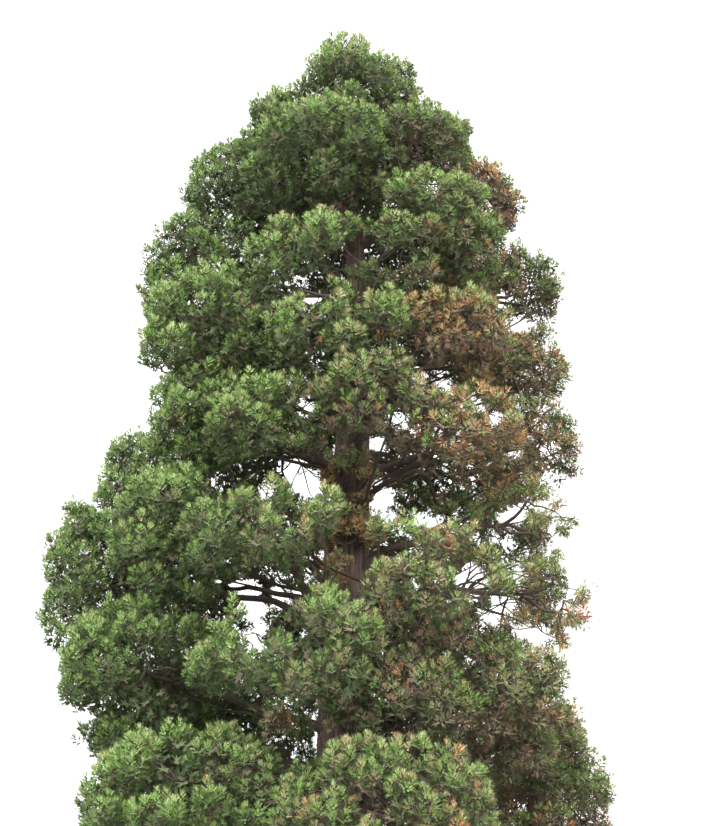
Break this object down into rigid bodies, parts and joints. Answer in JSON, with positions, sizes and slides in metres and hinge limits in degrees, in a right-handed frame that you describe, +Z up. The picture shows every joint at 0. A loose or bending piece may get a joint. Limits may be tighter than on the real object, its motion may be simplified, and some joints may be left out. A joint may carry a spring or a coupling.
{
  "type": "giant sequoia tree",
  "caption": "Giant sequoia, rooted in the ground: a tapering trunk with a flared foot, upswept boughs and a full domed crown of dense evergreen foliage.",
  "frame": {"origin": "middle of the flat cut under the trunk, at ground level", "axes": "+Z up the trunk; -Y towards the front, which is the side that the picture shows; +X to the right as seen from the front"},
  "size_m": [12.8917, 12.8686, 26.3016],
  "materials": {
    "trunk_bark": "shaggy, fibrous, furrowed bark, matt",
    "bough_bark": "grey-brown flaking bark, matt",
    "foliage_green": "matt scale-leaved shoots, yellow-green at the tips",
    "foliage_dark": "matt scale-leaved shoots in deep shade green",
    "foliage_mixed": "matt shoots, green with rust-brown dead sprays among them",
    "foliage_brown": "matt dead shoots, rust-brown"
  },
  "bodies": {
    "root": {"bough_front_high": "bough_bark", "bough_left_big": "bough_bark", "bough_left_low": "bough_bark", "bough_left_mid": "bough_bark", "bough_right_arching": "bough_bark", "bough_right_high": "bough_bark", "bough_right_mid": "bough_bark", "bough_right_open": "bough_bark", "foliage_back_high": "foliage_green", "foliage_back_left_foot": "foliage_green", "foliage_back_left_high": "foliage_green", "foliage_back_left_low": "foliage_green", "foliage_back_left_mid": "foliage_green", "foliage_back_left_upper": "foliage_green", "foliage_back_low": "foliage_green", "foliage_back_right_foot": "foliage_green", "foliage_back_right_high": "foliage_green", "foliage_back_right_low": "foliage_green", "foliage_back_right_mid": "foliage_green", "foliage_back_right_upper": "foliage_green", "foliage_back_upper": "foliage_green", "foliage_crown_tip": "foliage_green", "foliage_front_foot_left": "foliage_green", "foliage_front_foot_right": "foliage_dark", "foliage_front_heart": "foliage_mixed", "foliage_front_high": "foliage_green", "foliage_front_left_heart": "foliage_green", "foliage_front_low_left": "foliage_green", "foliage_front_low_right": "foliage_green", "foliage_front_mid": "foliage_green", "foliage_front_right_upper": "foliage_mixed", "foliage_front_skirt_left": "foliage_green", "foliage_front_skirt_right": "foliage_mixed", "foliage_front_upper": "foliage_green", "foliage_left_edge_low": "foliage_green", "foliage_left_edge_mid": "foliage_green", "foliage_left_foot": "foliage_green", "foliage_left_heart": "foliage_green", "foliage_left_high": "foliage_green", "foliage_left_low": "foliage_green", "foliage_left_mid": "foliage_green", "foliage_left_shoulder": "foliage_green", "foliage_right_arching": "foliage_mixed", "foliage_right_brown": "foliage_brown", "foliage_right_dark": "foliage_dark", "foliage_right_edge_foot": "foliage_dark", "foliage_right_edge_high": "foliage_mixed", "foliage_right_foot": "foliage_dark", "foliage_right_high": "foliage_green", "foliage_right_mid": "foliage_mixed", "foliage_right_open": "foliage_mixed", "foliage_right_rust": "foliage_brown", "foliage_right_shoulder": "foliage_green", "foliage_right_upper": "foliage_brown", "foliage_top_back": "foliage_green", "foliage_top_front": "foliage_green", "foliage_top_left": "foliage_green", "foliage_top_right": "foliage_green", "foliage_trunk_clump": "foliage_brown", "trunk": "trunk_bark"}
  },
  "joints": []
}
